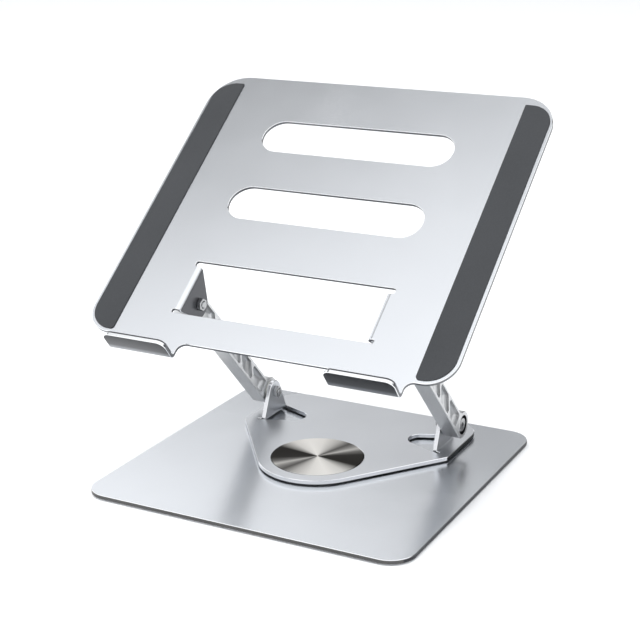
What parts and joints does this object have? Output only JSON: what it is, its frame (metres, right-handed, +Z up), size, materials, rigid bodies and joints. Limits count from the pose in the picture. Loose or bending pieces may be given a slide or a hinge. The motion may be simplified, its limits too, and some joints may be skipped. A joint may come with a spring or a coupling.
{
  "type": "laptop stand",
  "caption": "Folding metal laptop stand: tilting slotted tray with front lips on cast swing arms, over a turntable that swivels on a flat base.",
  "frame": {"origin": "centre of the underside of the foot mat, on the swivel axis", "axes": "+Z up along the swivel axis, +X to the right of someone facing the stand, so the tray's low front edge with its lips faces -Y"},
  "size_m": [0.2724, 0.232, 0.2568],
  "materials": {
    "sheet_base": "fine bead-blasted, clear anodised",
    "sheet_turntable": "fine bead-blasted, clear anodised",
    "sheet_tray": "fine bead-blasted, clear anodised, bright cut edges",
    "cast_arm": "cast and bead-blasted, anodised",
    "stainless": "spun, circular brushed",
    "steel": "machined",
    "pad_silicone": "matte silicone",
    "foot_silicone": "matte silicone",
    "acetal": "moulded, matte"
  },
  "bodies": {
    "base": {"base_plate": "sheet_base", "foot_mat": "foot_silicone", "slide_ring": "acetal", "swivel_hub": "steel", "hub_screw_1": "steel", "hub_screw_2": "steel", "hub_screw_3": "steel", "hub_screw_4": "steel", "retainer_plate": "steel", "cap_disc": "stainless", "friction_ring": "acetal"},
    "turntable": {"turntable": "sheet_turntable"},
    "arm_left": {"arm_left": "cast_arm", "pivot_screw_lower_left": "steel", "lock_nut_lower_left": "steel", "friction_washer_lower_left": "acetal", "spring_washer_1_lower_left": "steel", "spring_washer_2_lower_left": "steel", "pivot_screw_upper_left": "steel", "lock_nut_upper_left": "steel", "friction_washer_upper_left": "acetal", "spring_washer_1_upper_left": "steel", "spring_washer_2_upper_left": "steel"},
    "arm_right": {"arm_right": "cast_arm", "pivot_screw_lower_right": "steel", "lock_nut_lower_right": "steel", "friction_washer_lower_right": "acetal", "spring_washer_1_lower_right": "steel", "spring_washer_2_lower_right": "steel", "pivot_screw_upper_right": "steel", "lock_nut_upper_right": "steel", "friction_washer_upper_right": "acetal", "spring_washer_1_upper_right": "steel", "spring_washer_2_upper_right": "steel"},
    "tray": {"tray": "sheet_tray", "side_pad_left": "pad_silicone", "side_pad_right": "pad_silicone", "hook_pad_left": "pad_silicone", "hook_pad_right": "pad_silicone"}
  },
  "joints": [
    {"name": "swivel", "type": "hinge", "parent": "base", "child": "turntable", "pos_m": [0, 0, 0.0063], "axis": [0, 0, 1], "continuous": true},
    {"name": "arm_left", "type": "hinge", "parent": "turntable", "child": "arm_left", "pos_m": [0, 0.062, 0.025], "axis": [1, 0, 0], "range_deg": [-20, 30]},
    {"name": "arm_right", "type": "hinge", "parent": "turntable", "child": "arm_right", "pos_m": [0, 0.062, 0.025], "axis": [1, 0, 0], "range_deg": [-20, 30]},
    {"name": "tray_tilt", "type": "hinge", "parent": "arm_left", "child": "tray", "pos_m": [0, -0.03851, 0.1226], "axis": [1, 0, 0], "range_deg": [-67.5, 15]}
  ],
  "couplings": [
    {"joint": "arm_right", "follows": "arm_left", "ratio": 1}
  ]
}
